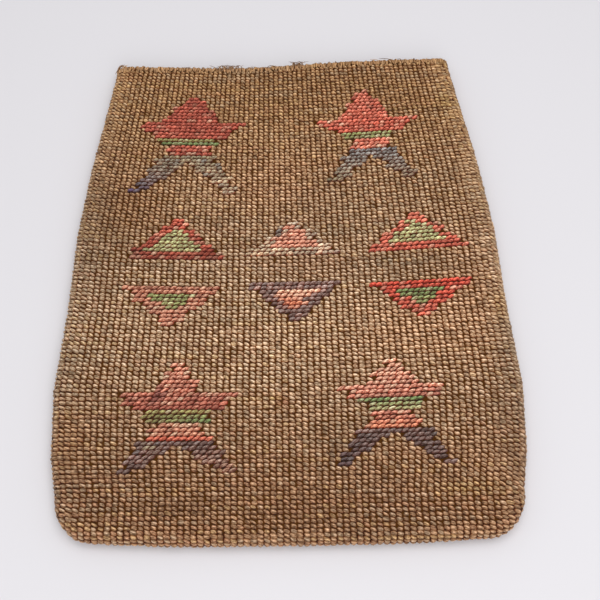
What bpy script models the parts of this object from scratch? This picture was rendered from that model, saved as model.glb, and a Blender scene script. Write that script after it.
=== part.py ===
# Corn husk bag: a flat bag twined in the round, lying on its back with its mouth open,
# and the fields of coloured yarn that are wrapped round the wefts of its front.
# Metres. +X runs across the bag, +Y from its base to its mouth, +Z up from the table.
# The origin is on the table, under the middle of the bag's outer box.

import math

import bmesh
import bpy
import numpy as np

# The whole bag
LENGTH = 0.290             # base fold to the higher corner of the mouth
WIDTH = 0.2376             # at the widest, a little above the base
THICKNESS = 0.0102         # over both walls and the space between them
WALL = 0.0028              # one twined wall, over its ribs
MOUTH_TILT = 0.003         # how much lower the mouth's left corner lies
MOUTH_LEAN = -0.001        # how far the mouth's middle stands to the left of the base's

# The sides: distance from the base, and how far in from the widest each side lies there
WIDEST = 0.080
SIDES = (
    (0.025, 0.0056),
    (0.045, 0.0020),
    (WIDEST, 0.0),
    (0.125, 0.0033),
    (0.172, 0.0049),
    (0.212, 0.0092),
    (LENGTH, 0.0212),
)

# The base: its outline bows up slowly towards both sides, and ends in rounded corners
BASE_BOW = 0.0045          # how much higher it lies at the left side than at its lowest point
BOW_PLACE = 0.005          # how far to the right of the middle that point is
BOW_POWER = 3.0
CORNER_WIDTH = 0.018
CORNER_HEIGHT = 0.021
BASE_EDGE = 0.0026         # height of the blunt edge that the base fold ends in

# The weave
COLUMNS = 74               # warps across one face, each a rib
ROWS = 124                 # rows of weft from the base to the mouth
RIB_DEPTH = 0.0005         # from the crest of a rib down to the groove beside it
BACK_CREST = 0.6           # share of a rib at the back that lies pressed flat
ROW_SAG = 0.006            # how much higher a row lies at the side folds than mid-way
SAG_HEIGHT = 1.6           # power that sets how far up the bag the rows sag most
SAG_REST = 0.5             # share of the half width at which a sagging row keeps its height

# The wrapped yarn
SEAT_GAP = 0.0003          # between the yarn's underside and the ribs
FIELD_GAP = 0.0003         # between two fields that meet
YARN_GROOVE = 0.0004       # thickness of the yarn between two rows
YARN_CREST = 0.0009        # thickness of the yarn in the middle of a row
TIP_WIDTH = 0.5            # half of a field's width at its point, in columns

# Fineness of the shapes that aren't read from the weave
CAVITY_STEPS = 10          # facets from the centre line to a side fold
FOLD_STEPS = (0.0, 0.25, 1.0)
CUT_OVERRUN = 0.006        # how far the cutter stands out of the mouth
STRAIGHT = -0.99999        # cosine between the two edges at a corner that bends no line

HUSK = (0.36, 0.25, 0.14, 1.0)
RED = (0.50, 0.17, 0.11, 1.0)
SALMON = (0.55, 0.24, 0.15, 1.0)
GREEN = (0.20, 0.21, 0.09, 1.0)
PURPLE = (0.19, 0.14, 0.13, 1.0)
HUSK_ROUGHNESS = 0.75
YARN_ROUGHNESS = 0.9

# The four stars, in columns from the bag's centre line and rows from its base.
# Each is a domed head on two arms, a band, a waist, and two legs that fork under it.
# A width is the half width at that row.
STARS = {
    "upper_left": {
        "axis": -18.2, "colour": RED, "waist_colour": RED,
        "head_row": 113, "shoulder_row": 109, "shoulder": 4.0,
        "arm_row": 105, "head": 5.8, "arm": 10.6,
        "band_row": 100, "arm_foot": 6.4, "band_top": 5.5, "band_foot": 5.3,
        "waist_row": 98, "waist_top": 3.8, "waist_foot": 4.4,
        "leg_row": 95, "leg_top": 4.7, "fork_row": 93,
        "foot_row": 84, "foot_out": 9.8, "foot_in": 8.0,
    },
    "upper_right": {
        "axis": 16.4, "colour": RED, "waist_colour": RED,
        "head_row": 114, "shoulder_row": 110, "shoulder": 2.9,
        "arm_row": 105, "head": 5.2, "arm": 10.6,
        "band_row": 101, "arm_foot": 6.2, "band_top": 5.0, "band_foot": 4.7,
        "waist_row": 99, "waist_top": 3.2, "waist_foot": 3.2,
        "leg_row": 96, "leg_top": 4.0, "fork_row": 94,
        "foot_row": 87, "foot_out": 8.2, "foot_in": 6.2,
    },
    "lower_left": {
        "axis": -17.0, "colour": SALMON, "waist_colour": SALMON,
        "head_row": 40, "shoulder_row": 36, "shoulder": 2.4,
        "arm_row": 33, "head": 3.6, "arm": 9.1,
        "band_row": 29, "arm_foot": 7.0, "band_top": 5.4, "band_foot": 4.4,
        "waist_row": 26, "waist_top": 3.1, "waist_foot": 5.3,
        "leg_row": 22, "leg_top": 5.6, "fork_row": 21,
        "foot_row": 15, "foot_out": 9.1, "foot_in": 7.2,
    },
    "lower_right": {
        "axis": 16.0, "colour": SALMON, "waist_colour": SALMON,
        "head_row": 40, "shoulder_row": 36, "shoulder": 3.0,
        "arm_row": 34, "head": 3.8, "arm": 8.4,
        "band_row": 31, "arm_foot": 6.3, "band_top": 4.8, "band_foot": 3.3,
        "waist_row": 28, "waist_top": 2.4, "waist_foot": 4.4,
        "leg_row": 24, "leg_top": 5.4, "fork_row": 23,
        "foot_row": 16, "foot_out": 8.9, "foot_in": 7.4,
    },
}

# The six triangles, in pairs base to base. Each is a border round a centre.
TRIANGLES = {
    "upper_left": {
        "axis": -18.9, "colour": RED, "centre_colour": GREEN,
        "tip_row": 77, "base_row": 66, "base": 8.5,
        "centre_tip_row": 74, "centre_base_row": 68, "centre": 5.3,
    },
    "lower_left": {
        "axis": -19.0, "colour": RED, "centre_colour": GREEN,
        "tip_row": 49, "base_row": 59, "base": 8.4,
        "centre_tip_row": 53, "centre_base_row": 57, "centre": 4.1,
    },
    "upper_middle": {
        "axis": 1.1, "colour": PURPLE, "centre_colour": SALMON,
        "tip_row": 76, "base_row": 67, "base": 8.2,
        "centre_tip_row": 75, "centre_base_row": 69, "centre": 4.6,
    },
    "lower_middle": {
        "axis": 1.2, "colour": PURPLE, "centre_colour": SALMON,
        "tip_row": 50, "base_row": 60, "base": 7.9,
        "centre_tip_row": 53, "centre_base_row": 58, "centre": 3.9,
    },
    "upper_right": {
        "axis": 22.3, "colour": RED, "centre_colour": GREEN,
        "tip_row": 77, "base_row": 67, "base": 8.9,
        "centre_tip_row": 75, "centre_base_row": 69, "centre": 5.4,
    },
    "lower_right": {
        "axis": 22.2, "colour": RED, "centre_colour": GREEN,
        "tip_row": 50, "base_row": 59, "base": 9.0,
        "centre_tip_row": 53, "centre_base_row": 57, "centre": 4.5,
    },
}

# Values that follow from the sizes above
RADIUS = THICKNESS / 2
ROW_PITCH = LENGTH / ROWS
HALF_COLUMNS = COLUMNS / 2


def clear_scene():
    for item in list(bpy.data.objects):
        bpy.data.objects.remove(item, do_unlink=True)


def new_collection(name):
    collection = bpy.data.collections.new(name)
    bpy.context.scene.collection.children.link(collection)
    return collection


def fibre(name, colour, roughness):
    material = bpy.data.materials.new(name)
    material.use_nodes = True
    shader = material.node_tree.nodes["Principled BSDF"]
    shader.inputs["Base Color"].default_value = colour
    shader.inputs["Roughness"].default_value = roughness
    shader.inputs["Metallic"].default_value = 0.0
    material.diffuse_color = colour
    return material


def add_object(name, bm, material, collection):
    mesh = bpy.data.meshes.new(name)
    bm.to_mesh(mesh)
    bm.free()
    mesh.materials.append(material)
    item = bpy.data.objects.new(name, mesh)
    collection.objects.link(item)
    return item


# The bag's own surface, which the ribs, the cavity and the yarn all follow

def half_width(distance):
    places, narrowings = zip(*SIDES)
    return WIDTH / 2 - float(np.interp(distance, places, narrowings))


def across(column, distance, lift):
    """Gives x from the centre line, and height from mid-wall, at a column of the weave."""
    flat = half_width(distance) - RADIUS
    arc = abs(column) / HALF_COLUMNS * (flat + RADIUS * math.pi / 2)
    turn = max(0.0, arc - flat) / RADIUS
    x = min(arc, flat) + (RADIUS + lift) * math.sin(turn)
    height = (RADIUS + lift) * math.cos(turn)
    return math.copysign(x, column), height


def lean(distance):
    share = max(0.0, distance - WIDEST) / (LENGTH - WIDEST)
    return MOUTH_LEAN * share ** 2


def along(x, distance):
    """Gives y in the part's frame: distances shrink towards the mouth's lower corner."""
    corner = half_width(LENGTH)
    drop = MOUTH_TILT * (corner - x) / (2 * corner)
    return distance * (1 - drop / LENGTH) - LENGTH / 2


def base_start(column):
    """Gives the distance at which a column begins, on the base's bowed and rounded outline."""
    x = across(column, 0.0, 0.0)[0]
    side = half_width(0.0)
    bow = BASE_BOW * (abs(x - BOW_PLACE) / (side + BOW_PLACE)) ** BOW_POWER
    share = (abs(x) - (side - CORNER_WIDTH)) / CORNER_WIDTH
    share = min(1.0, max(0.0, share))
    return bow + CORNER_HEIGHT * (1 - math.sqrt(1 - share ** 2))


def fold_share(step):
    """Gives how far a wall has risen from the base fold, from its blunt edge to full height."""
    blunt = BASE_EDGE / THICKNESS
    return blunt + (1 - blunt) * math.sqrt(1 - (1 - step) ** 2)


def row_sag(column, distance):
    """Rows hang lowest midway across, most of all in the upper half of the bag."""
    share = max(0.0, distance / LENGTH) ** SAG_HEIGHT
    hang = ROW_SAG * max(0.0, math.sin(math.pi * share))
    return hang * ((column / HALF_COLUMNS) ** 2 - SAG_REST ** 2)


def skin(column, distance, lift, side=1, rise=1.0):
    """Gives the point at a column and a distance, on the front (1) or the back (-1)."""
    x, height = across(column, distance, lift)
    return x + lean(distance), along(x, distance), RADIUS + side * height * rise


# The woven bag

def rib_ring():
    """Goes once round the bag: two facets a rib in front, three at the back."""
    ring = []
    shoulder = (1 - BACK_CREST) / 2
    for rib in range(COLUMNS):
        left, right = rib - HALF_COLUMNS, rib + 1 - HALF_COLUMNS
        ring.append((left, -RIB_DEPTH, 1))
        ring.append(((left + right) / 2, 0.0, 1))
    for rib in range(COLUMNS):
        right = HALF_COLUMNS - rib
        ring.append((right, -RIB_DEPTH, -1))
        ring.append((right - shoulder, 0.0, -1))
        ring.append((right - 1 + shoulder, 0.0, -1))
    return ring


def smooth_ring(inset):
    """Goes once round inside the walls, with closer facets near the side folds."""
    shares = [math.sin(math.pi / 2 * k / CAVITY_STEPS) for k in range(-CAVITY_STEPS, CAVITY_STEPS)]
    front = [(HALF_COLUMNS * share, -inset, 1) for share in shares]
    back = [(-column, lift, -1) for column, lift, side in front]
    return front + back


def tube(ring, inset, end):
    """Lofts a ring from the base fold up the bag's stations to its end."""
    bm = bmesh.new()
    reach = RADIUS - inset
    stations = [place for place, narrowing in SIDES[1:-1]] + [end]
    levels = []
    for step in FOLD_STEPS:
        levels.append([
            skin(column, base_start(column) + inset + step * reach, lift, side, fold_share(step))
            for column, lift, side in ring
        ])
    for place in stations:
        levels.append([skin(column, place, lift, side) for column, lift, side in ring])
    rows = [[bm.verts.new(point) for point in level] for level in levels]
    count = len(ring)
    for low, high in zip(rows, rows[1:]):
        for k in range(count):
            after = (k + 1) % count
            bm.faces.new((low[k], low[after], high[after], high[k]))
    bm.faces.new(rows[-1])
    return bm, rows[0]


def close_base(bm, first, front_count, parts):
    """Closes the base fold with one face for each rib, or each facet of the cavity."""
    front = first[:front_count + 1]
    back = [first[0]] + first[:front_count - 1:-1]
    front_step = front_count // parts
    back_step = (len(first) - front_count) // parts
    for k in range(parts):
        top = front[k * front_step:(k + 1) * front_step + 1]
        under = back[k * back_step:(k + 1) * back_step + 1]
        loop = []
        for vert in list(reversed(top)) + under:
            if vert not in loop:
                loop.append(vert)
        bm.faces.new(loop)


def woven_bag(parts_collection, cutters):
    bm, first = tube(rib_ring(), 0.0, LENGTH)
    close_base(bm, first, 2 * COLUMNS, COLUMNS)
    bmesh.ops.recalc_face_normals(bm, faces=bm.faces)
    bag = add_object("woven_bag", bm, fibre("husk_twining", HUSK, HUSK_ROUGHNESS), parts_collection)

    bm, first = tube(smooth_ring(WALL), WALL, LENGTH + CUT_OVERRUN)
    close_base(bm, first, 2 * CAVITY_STEPS, 2 * CAVITY_STEPS)
    bmesh.ops.recalc_face_normals(bm, faces=bm.faces)
    space = add_object("bag_space", bm, fibre("space", HUSK, HUSK_ROUGHNESS), cutters)
    space.hide_render = True
    space.display_type = "WIRE"

    cut = bag.modifiers.new("space", "BOOLEAN")
    cut.operation = "DIFFERENCE"
    cut.object = space
    return bag


# The wrapped fields

def ridge(row):
    """Gives the yarn's thickness at a row: thin between two rows, thick in the middle of one."""
    share = 1 - abs(2 * (row % 1.0) - 1)
    return YARN_GROOVE + (YARN_CREST - YARN_GROOVE) * share


def dissolve_seams(bm):
    """Joins the cells of a field across its seams, so that each row is one strip."""
    seams = [
        edge for edge in bm.edges
        if len(edge.link_faces) == 2 and abs(edge.verts[0].co.y - edge.verts[1].co.y) > FIELD_GAP
    ]
    bmesh.ops.dissolve_edges(bm, edges=seams)
    spare = []
    for vert in bm.verts:
        if len(vert.link_edges) == 2:
            one, other = [edge.other_vert(vert).co - vert.co for edge in vert.link_edges]
            if one.normalized().dot(other.normalized()) < STRAIGHT:
                spare.append(vert)
    bmesh.ops.dissolve_verts(bm, verts=spare)


def wrapped_field(name, cells, material, collection):
    """Makes a field of wrapped yarn from flat cells, given as corners in columns and rows."""
    pitch = 2 * half_width(LENGTH / 2) / COLUMNS
    bm = bmesh.new()
    corners = {}
    for cell in cells:
        loop = []
        for corner in cell:
            if corner not in corners:
                corners[corner] = bm.verts.new((corner[0] * pitch, corner[1] * ROW_PITCH, 0.0))
            loop.append(corners[corner])
        bm.faces.new(loop)
    bmesh.ops.recalc_face_normals(bm, faces=bm.faces)
    rim = bmesh.ops.inset_region(
        bm, faces=bm.faces[:], thickness=FIELD_GAP / 2, use_boundary=True, use_even_offset=True
    )
    bmesh.ops.delete(bm, geom=rim["faces"], context="FACES")

    rows = [corner[1] for corner in corners]
    for half_row in range(2 * min(rows) + 1, 2 * max(rows)):
        bmesh.ops.bisect_plane(
            bm, geom=bm.verts[:] + bm.edges[:] + bm.faces[:], dist=FIELD_GAP / 100,
            plane_co=(0.0, half_row * ROW_PITCH / 2, 0.0), plane_no=(0.0, 1.0, 0.0)
        )
    dissolve_seams(bm)

    raised = bmesh.ops.extrude_face_region(bm, geom=bm.faces[:])["geom"]
    tops = {item for item in raised if isinstance(item, bmesh.types.BMVert)}
    for vert in bm.verts:
        column, distance = vert.co.x / pitch, vert.co.y
        thickness = ridge(distance / ROW_PITCH) if vert in tops else 0.0
        distance += row_sag(column, distance)
        vert.co = skin(column, distance, SEAT_GAP + thickness)
    bmesh.ops.recalc_face_normals(bm, faces=bm.faces)
    return add_object(name, bm, material, collection)


def quad(axis, top_row, top, foot_row, foot):
    """Gives a cell that is symmetrical about its axis, from its top row to its foot."""
    return ((axis - top, top_row), (axis + top, top_row), (axis + foot, foot_row), (axis - foot, foot_row))


def star(place, size, materials, collection):
    axis = size["axis"]
    tip = quad(axis, size["head_row"], TIP_WIDTH, size["shoulder_row"], size["shoulder"])
    head = quad(axis, size["shoulder_row"], size["shoulder"], size["arm_row"], size["head"])
    arms = (
        (axis - size["arm"], size["arm_row"]), (axis - size["head"], size["arm_row"]),
        (axis + size["head"], size["arm_row"]), (axis + size["arm"], size["arm_row"]),
        (axis + size["arm_foot"], size["band_row"]), (axis - size["arm_foot"], size["band_row"]),
    )
    band = quad(axis, size["band_row"], size["band_top"], size["waist_row"], size["band_foot"])
    waist = quad(axis, size["waist_row"], size["waist_top"], size["leg_row"], size["waist_foot"])
    legs = [
        (
            (axis, size["leg_row"]), (axis + side * size["leg_top"], size["leg_row"]),
            (axis + side * size["foot_out"], size["foot_row"]),
            (axis + side * size["foot_in"], size["foot_row"]), (axis, size["fork_row"]),
        )
        for side in (-1, 1)
    ]
    name = "star_" + place
    wrapped_field(name + "_head_and_arms", [tip, head, arms], materials[size["colour"]], collection)
    wrapped_field(name + "_band", [band], materials[GREEN], collection)
    wrapped_field(name + "_waist", [waist], materials[size["waist_colour"]], collection)
    wrapped_field(name + "_legs", legs, materials[PURPLE], collection)


def triangle(place, size, materials, collection):
    axis = size["axis"]
    tip, base = size["tip_row"], size["base_row"]
    in_tip, in_base = size["centre_tip_row"], size["centre_base_row"]
    cap = quad(axis, tip, TIP_WIDTH, in_tip, TIP_WIDTH)
    foot = quad(axis, in_base, size["centre"], base, size["base"])
    sides = [
        (
            (axis + side * TIP_WIDTH, tip), (axis + side * size["base"], base),
            (axis + side * size["centre"], in_base), (axis + side * TIP_WIDTH, in_tip),
        )
        for side in (-1, 1)
    ]
    centre = quad(axis, in_tip, TIP_WIDTH, in_base, size["centre"])
    name = "triangle_" + place
    wrapped_field(name + "_border", [cap, foot] + sides, materials[size["colour"]], collection)
    wrapped_field(name + "_centre", [centre], materials[size["centre_colour"]], collection)


def main():
    clear_scene()
    parts = new_collection("corn_husk_bag")
    cutters = new_collection("cutters")
    woven_bag(parts, cutters)
    materials = {
        RED: fibre("red_yarn", RED, YARN_ROUGHNESS),
        SALMON: fibre("salmon_yarn", SALMON, YARN_ROUGHNESS),
        GREEN: fibre("green_yarn", GREEN, YARN_ROUGHNESS),
        PURPLE: fibre("purple_yarn", PURPLE, YARN_ROUGHNESS),
    }
    for place, size in STARS.items():
        star(place, size, materials, parts)
    for place, size in TRIANGLES.items():
        triangle(place, size, materials, parts)


main()
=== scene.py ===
# The looks of a corn husk bag, which lies on its back on a pale table.
# Every stitch of the twining is a small strand of its own, laid on the bag's skin.
# Metres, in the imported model's frame: +X across the front, +Y from the base to the mouth.

import math

import bpy
import numpy as np
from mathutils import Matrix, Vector


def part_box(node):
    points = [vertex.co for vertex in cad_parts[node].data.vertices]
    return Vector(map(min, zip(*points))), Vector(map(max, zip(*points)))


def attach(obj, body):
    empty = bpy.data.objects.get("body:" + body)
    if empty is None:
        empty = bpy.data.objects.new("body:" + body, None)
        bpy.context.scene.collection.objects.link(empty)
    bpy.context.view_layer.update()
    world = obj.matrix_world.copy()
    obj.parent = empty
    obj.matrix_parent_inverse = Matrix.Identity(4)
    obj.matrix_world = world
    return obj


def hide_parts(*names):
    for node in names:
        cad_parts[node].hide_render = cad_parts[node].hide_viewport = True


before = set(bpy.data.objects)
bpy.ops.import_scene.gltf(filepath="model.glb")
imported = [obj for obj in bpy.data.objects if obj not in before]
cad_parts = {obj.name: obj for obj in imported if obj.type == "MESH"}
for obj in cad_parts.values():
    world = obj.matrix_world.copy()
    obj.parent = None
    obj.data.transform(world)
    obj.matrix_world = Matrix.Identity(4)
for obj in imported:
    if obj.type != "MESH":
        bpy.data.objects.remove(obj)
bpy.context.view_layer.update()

# The bag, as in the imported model
bag_low, bag_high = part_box("woven_bag")
LENGTH = bag_high.y - bag_low.y
THICKNESS = bag_high.z - bag_low.z
WIDTH = 0.2376
WALL = 0.0028
MOUTH_TILT = 0.003         # how much lower the mouth's left corner lies
MOUTH_LEAN = -0.001        # how far the mouth's middle stands to the left of the base's
WIDEST = 0.080
# Distance from the base, and how far in from the widest each side lies there
SIDES = (
    (0.025, 0.0056),
    (0.045, 0.0020),
    (WIDEST, 0.0),
    (0.125, 0.0033),
    (0.172, 0.0049),
    (0.212, 0.0092),
    (LENGTH, 0.0212),
)
BASE_BOW = 0.0045          # how much higher the base lies at the left side than at its lowest
BOW_PLACE = 0.005          # how far to the right of the middle its lowest point is
BOW_POWER = 3.0
CORNER_WIDTH = 0.018
CORNER_HEIGHT = 0.021
COLUMNS = 74               # warps across one face
ROWS = 124                 # rows of weft from the base to the mouth
ROW_SAG = 0.006            # how much higher a row lies at the side folds than mid-way
SAG_HEIGHT = 1.6
SAG_REST = 0.5
TIP_WIDTH = 0.5            # half of a yarn field's width at its point, in columns

# What only the looks have
MOUTH_DIP = 0.0042         # how far the rim sinks left of its middle
DIP_PLACE = -0.026
DIP_WIDTH = 0.045
PUFF = 0.0005              # height of the soft swellings of the front
WALL_SINK = 0.0009         # from the crests of the stitches down to the wall behind them
WELD = 0.0003              # how near its two sheets' points are where they are welded
STRAND_FOOT = 0.0014       # how far below the crests a strand may reach
CREST_SHIFT = 0.3          # how far a strand's crest lies above its middle, in half breadths
CROWN = 2.2                # how flat a strand's top is along it
STRAND_RINGS = 6
PRESSED = 0.0003           # how far the strands of the back and the inside are pushed in
FOLD_SWELL = 0.0003        # how far the strands stand out where the cloth is folded
FOLD_COLUMNS = 2           # warps of each face that lie in a side fold
FOLD_GAP = 0.3             # how near to the base fold's line a row may start, in rows
FOLD_FILL = 0.65           # how far up it leaves room for one more row, in rows
FOLD_ROW = 0.02            # where that row lies
RIM_ROWS = 1               # rows of weft that the turned warp ends cover
RIM_EDGE = 0.0036          # from the mouth's line down to where the warp ends start to turn over
RIM_GAP = 0.0002           # from there down to the edge of the wall behind them
RIM_ROUND = WALL / 2       # how tightly they turn over the wall
# RIM_DEPTH lightens the painted shade on the lowest parts of the rim strands
RIM_DEPTH = 0.35           # how light their lowest parts are, from 0 in a hollow to 1 on a crest
RIM_SHADE = 0.85
INNER_ROWS = 9             # rows of stitches inside the mouth
# INNER_SHADE is painted shade: it darkens the rows inside the mouth
INNER_SHADE = 0.9          # how light they are against the front's
FIBRE_STEP = 3.7           # sets one strand's streaks apart from the next one's
# Stitches that fill the base's corners: columns in from the side, rows up from the fold's line,
# and the nearest row
CORNER_STITCHES = (
    (1.90, 0.05, 6.5),
    (0.95, 0.05, 8.5),
    (0.95, 0.90, 9.5),
    (0.10, 0.10, 9.5),
)

# Values that follow from the sizes above
RADIUS = THICKNESS / 2
QUARTER = RADIUS * math.pi / 2          # once round from the base fold's line to the front
FOLD_EXTRA = QUARTER - RADIUS           # how much longer that is than its plan
ROW_PITCH = LENGTH / ROWS
HALF_COLUMNS = COLUMNS / 2
COLUMN_PITCH = (WIDTH - 2 * RADIUS + 2 * QUARTER) / COLUMNS

# The four stars, in columns from the centre line and rows from the base
STARS = {
    "upper_left": {
        "axis": -18.2, "head_row": 113, "shoulder_row": 109, "shoulder": 4.0,
        "arm_row": 105, "head": 5.8, "arm": 10.6,
        "band_row": 100, "arm_foot": 6.4, "band_top": 5.5, "band_foot": 5.3,
        "waist_row": 98, "waist_top": 3.8, "waist_foot": 4.4,
        "leg_row": 95, "leg_top": 4.7, "fork_row": 93,
        "foot_row": 84, "foot_out": 9.8, "foot_in": 8.0,
    },
    "upper_right": {
        "axis": 16.4, "head_row": 114, "shoulder_row": 110, "shoulder": 2.9,
        "arm_row": 105, "head": 5.2, "arm": 10.6,
        "band_row": 101, "arm_foot": 6.2, "band_top": 5.0, "band_foot": 4.7,
        "waist_row": 99, "waist_top": 3.2, "waist_foot": 3.2,
        "leg_row": 96, "leg_top": 4.0, "fork_row": 94,
        "foot_row": 87, "foot_out": 8.2, "foot_in": 6.2,
    },
    "lower_left": {
        "axis": -17.0, "head_row": 40, "shoulder_row": 36, "shoulder": 2.4,
        "arm_row": 33, "head": 3.6, "arm": 9.1,
        "band_row": 29, "arm_foot": 7.0, "band_top": 5.4, "band_foot": 4.4,
        "waist_row": 26, "waist_top": 3.1, "waist_foot": 5.3,
        "leg_row": 22, "leg_top": 5.6, "fork_row": 21,
        "foot_row": 15, "foot_out": 9.1, "foot_in": 7.2,
    },
    "lower_right": {
        "axis": 16.0, "head_row": 40, "shoulder_row": 36, "shoulder": 3.0,
        "arm_row": 34, "head": 3.8, "arm": 8.4,
        "band_row": 31, "arm_foot": 6.3, "band_top": 4.8, "band_foot": 3.3,
        "waist_row": 28, "waist_top": 2.4, "waist_foot": 4.4,
        "leg_row": 24, "leg_top": 5.4, "fork_row": 23,
        "foot_row": 16, "foot_out": 8.9, "foot_in": 7.4,
    },
}

# The six triangles: a border round a centre, each with its tip, its base and half its width
TRIANGLES = {
    "upper_left": {
        "axis": -18.9, "tip_row": 77, "base_row": 66, "base": 8.5,
        "centre_tip_row": 74, "centre_base_row": 68, "centre": 5.3,
    },
    "lower_left": {
        "axis": -19.0, "tip_row": 49, "base_row": 59, "base": 8.4,
        "centre_tip_row": 53, "centre_base_row": 57, "centre": 4.1,
    },
    "upper_middle": {
        "axis": 1.1, "tip_row": 76, "base_row": 67, "base": 8.2,
        "centre_tip_row": 75, "centre_base_row": 69, "centre": 4.6,
    },
    "lower_middle": {
        "axis": 1.2, "tip_row": 50, "base_row": 60, "base": 7.9,
        "centre_tip_row": 53, "centre_base_row": 58, "centre": 3.9,
    },
    "upper_right": {
        "axis": 22.3, "tip_row": 77, "base_row": 67, "base": 8.9,
        "centre_tip_row": 75, "centre_base_row": 69, "centre": 5.4,
    },
    "lower_right": {
        "axis": 22.2, "tip_row": 50, "base_row": 59, "base": 9.0,
        "centre_tip_row": 53, "centre_base_row": 57, "centre": 4.5,
    },
}


def paint(red, green, blue):
    """Turns a colour of 0 to 255, as a screen shows it, into a shader's linear one."""
    shares = np.array((red, green, blue)) / 255
    return np.where(shares <= 0.04045, shares / 12.92, ((shares + 0.055) / 1.055) ** 2.4)


# Husk
TAN = paint(222, 189, 152)
WARM_TAN = paint(208, 164, 114)
RED_TAN = paint(226, 176, 132)
BURNT_TAN = paint(196, 146, 98)
GREY_TAN = paint(186, 168, 140)
BASE_BROWN = paint(196, 153, 114)
OLD_BROWN = paint(138, 100, 68)
STRAW = paint(214, 178, 112)
CREAM = paint(232, 208, 178)
RUST = paint(176, 116, 84)

# Yarn, where its crests are worn
CLEAR_RED = paint(212, 86, 68)
WARM_RED = paint(208, 104, 84)
PINK_RED = paint(218, 124, 102)
FADED_RED = paint(180, 90, 73)
DULL_RED = paint(148, 72, 56)
STAINED_RED = paint(118, 68, 64)
ORANGE_RED = paint(222, 94, 70)
ORANGE = paint(224, 126, 88)
WORN_ORANGE = paint(210, 134, 104)
SALMON = paint(224, 155, 130)
PALE_SALMON = paint(238, 182, 154)
OLD_ROSE = paint(204, 128, 108)
WORN_ROSE = paint(192, 130, 106)
DUSTY_ROSE = paint(172, 99, 82)
BARK_GREEN = paint(147, 134, 86)
LEAF_GREEN = paint(116, 128, 82)
SPRING_GREEN = paint(148, 148, 96)
PALE_GREEN = paint(178, 170, 122)
GREY_OLIVE = paint(150, 130, 104)
PALE_CREAM = paint(214, 180, 148)
FADED_CREAM = paint(194, 164, 134)
WORN_MAUVE = paint(188, 160, 138)
PALE_MAUVE = paint(164, 136, 114)
WARM_MAUVE = paint(172, 126, 104)
GREY_MAUVE = paint(148, 116, 108)
BLUE_GREY = paint(140, 130, 128)
PURPLE = paint(122, 96, 90)
DEEP_PURPLE = paint(96, 74, 74)
BLUE_PURPLE = paint(92, 72, 98)
BLUE_BLACK = paint(92, 92, 100)


# The bag's skin

def half_width(distance):
    """Gives half the bag's width at a distance from the base."""
    places, narrowings = zip(*SIDES)
    return WIDTH / 2 - np.interp(distance, places, narrowings)


def across(column, distance):
    """Gives x from the centre line, and height from mid-wall, at a column of the weave."""
    flat = half_width(distance) - RADIUS
    arc = np.abs(column) / HALF_COLUMNS * (flat + QUARTER)
    turn = np.maximum(0.0, arc - flat) / RADIUS
    x = np.minimum(arc, flat) + RADIUS * np.sin(turn)
    return np.copysign(x, column), RADIUS * np.cos(turn)


def base_start(column):
    """Gives how far up the bowed and rounded outline of the base a column begins."""
    x = across(column, 0.0)[0]
    side = half_width(0.0)
    bow = BASE_BOW * (np.abs(x - BOW_PLACE) / (side + BOW_PLACE)) ** BOW_POWER
    share = np.clip((np.abs(x) - (side - CORNER_WIDTH)) / CORNER_WIDTH, 0, 1)
    return bow + CORNER_HEIGHT * (1 - np.sqrt(1 - share ** 2))


def row_distance(column, row):
    """Gives how far from the base a row lies at a column. Rows hang lowest midway across."""
    distance = row * ROW_PITCH
    share = np.maximum(0.0, distance / LENGTH) ** SAG_HEIGHT
    hang = ROW_SAG * np.maximum(0.0, np.sin(math.pi * share))
    return distance + hang * ((column / HALF_COLUMNS) ** 2 - SAG_REST ** 2)


def along(x, distance):
    """Gives y: the mouth is lower on the left, and sinks a little beside its middle."""
    corner = half_width(LENGTH)
    drop = MOUTH_TILT * (corner - x) / (2 * corner)
    dip = MOUTH_DIP * np.exp(-((x - DIP_PLACE) / DIP_WIDTH) ** 2)
    rising = np.maximum(0.0, distance / LENGTH)
    return distance - drop * rising - dip * rising ** 8 - LENGTH / 2


def puff(x, y):
    """Gives the soft swellings that a used bag keeps when it lies flat."""
    wave = (
        np.sin(31 * x + 17 * y + 0.6)
        + np.sin(-22 * x + 38 * y + 2.1)
        + np.sin(53 * x - 9 * y + 4.0)
    )
    return PUFF * wave / 3


def skin(column, travel, side):
    """Gives points of the skin: travel runs up a warp from the base fold's line."""
    turned = np.clip(travel / RADIUS, 0, math.pi / 2)
    plan = np.where(travel < QUARTER, RADIUS * (1 - np.cos(turned)), travel - FOLD_EXTRA)
    distance = base_start(column) + plan
    x, height = across(column, distance)
    height = height * np.sin(turned)
    lean = MOUTH_LEAN * (np.maximum(0.0, distance - WIDEST) / (LENGTH - WIDEST)) ** 2
    y = along(x, distance)
    swell = np.where(side > 0, puff(x, y) * (height / RADIUS) ** 2, 0.0)
    return np.stack([x + lean, y, RADIUS + side * height + swell], axis=-1)


def unit(vectors):
    """Gives the vectors at a length of one."""
    return vectors / np.maximum(np.linalg.norm(vectors, axis=-1, keepdims=True), 1e-12)


def skin_frame(column, travel, side):
    """Gives points of the skin, with the ways across the warp, up it and out of the cloth."""
    step, short = 0.05, 0.0001
    inner = np.clip(column, -HALF_COLUMNS + 3 * step, HALF_COLUMNS - 3 * step)
    raised = np.maximum(travel, 4 * short)
    over = skin(inner + step, raised, side) - skin(inner - step, raised, side)
    up = unit(skin(inner, raised + short, side) - skin(inner, raised - short, side))
    out = unit(np.cross(over, up)) * np.asarray(side)[..., None]
    width = np.linalg.norm(over, axis=-1) / (2 * step)
    return skin(column, travel, side), np.cross(up, out), up, out, width


# The lattice of stitches: one for each warp and row

def travel_of(column, distance):
    """Gives the travel up a warp that reaches a distance from the base."""
    return distance - base_start(column) + FOLD_EXTRA


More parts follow.
